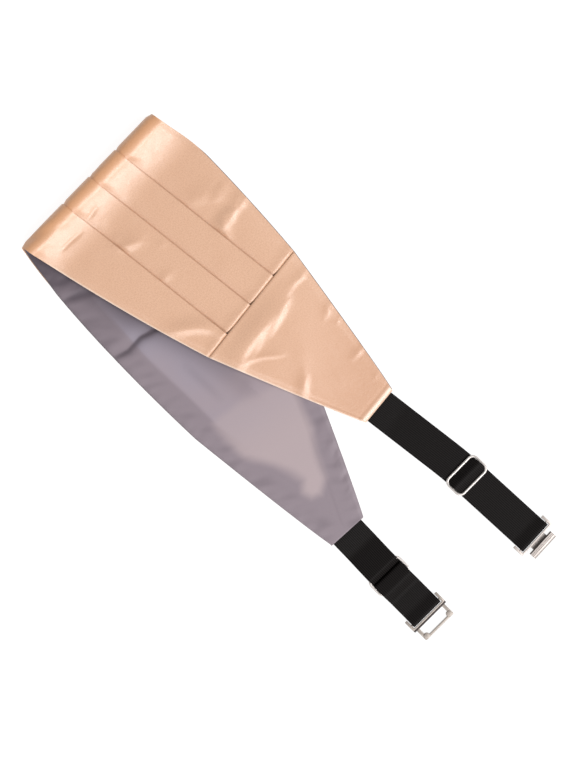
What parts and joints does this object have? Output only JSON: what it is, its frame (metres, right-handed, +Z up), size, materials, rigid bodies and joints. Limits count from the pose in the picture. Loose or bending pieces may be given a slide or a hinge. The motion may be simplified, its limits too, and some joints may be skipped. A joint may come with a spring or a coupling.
{
  "type": "cummerbund",
  "caption": "Pleated satin cummerbund folded in half and lying flat, with a lining, adjustable elastic straps, and a metal hook and eye.",
  "frame": {"origin": "middle of the underside of the folded garment as it lies flat", "axes": "+X from the fold towards the hook and the eye, +Y along the fold towards the hook's side, +Z up from the surface it lies on"},
  "size_m": [0.3921, 0.1378, 0.0156],
  "materials": {
    "satin": "shiny satin weave",
    "lining": "smooth lining cloth with a slight sheen",
    "elastic": "ribbed woven elastic",
    "nickel": "bright nickel plate"
  },
  "bodies": {
    "garment": {"lining": "lining", "pleat_1": "satin", "pleat_2": "satin", "pleat_3": "satin", "pleat_4": "satin", "end_panel_hook": "satin", "end_panel_eye": "satin", "strap_hook": "elastic", "strap_eye": "elastic", "slider_hook": "nickel", "slider_eye": "nickel"},
    "hook": {"hook": "nickel"},
    "eye": {"eye": "nickel"}
  },
  "joints": [
    {"name": "hook_swing", "type": "hinge", "parent": "garment", "child": "hook", "pos_m": [0.18287, 0.05101, 0.00205], "axis": [0.068, -0.9977, 0], "range_deg": [0, 70]},
    {"name": "eye_swing", "type": "hinge", "parent": "garment", "child": "eye", "pos_m": [0.16994, -0.0358, 0.00205], "axis": [0.0192, -0.9998, 0], "range_deg": [0, 70]}
  ]
}
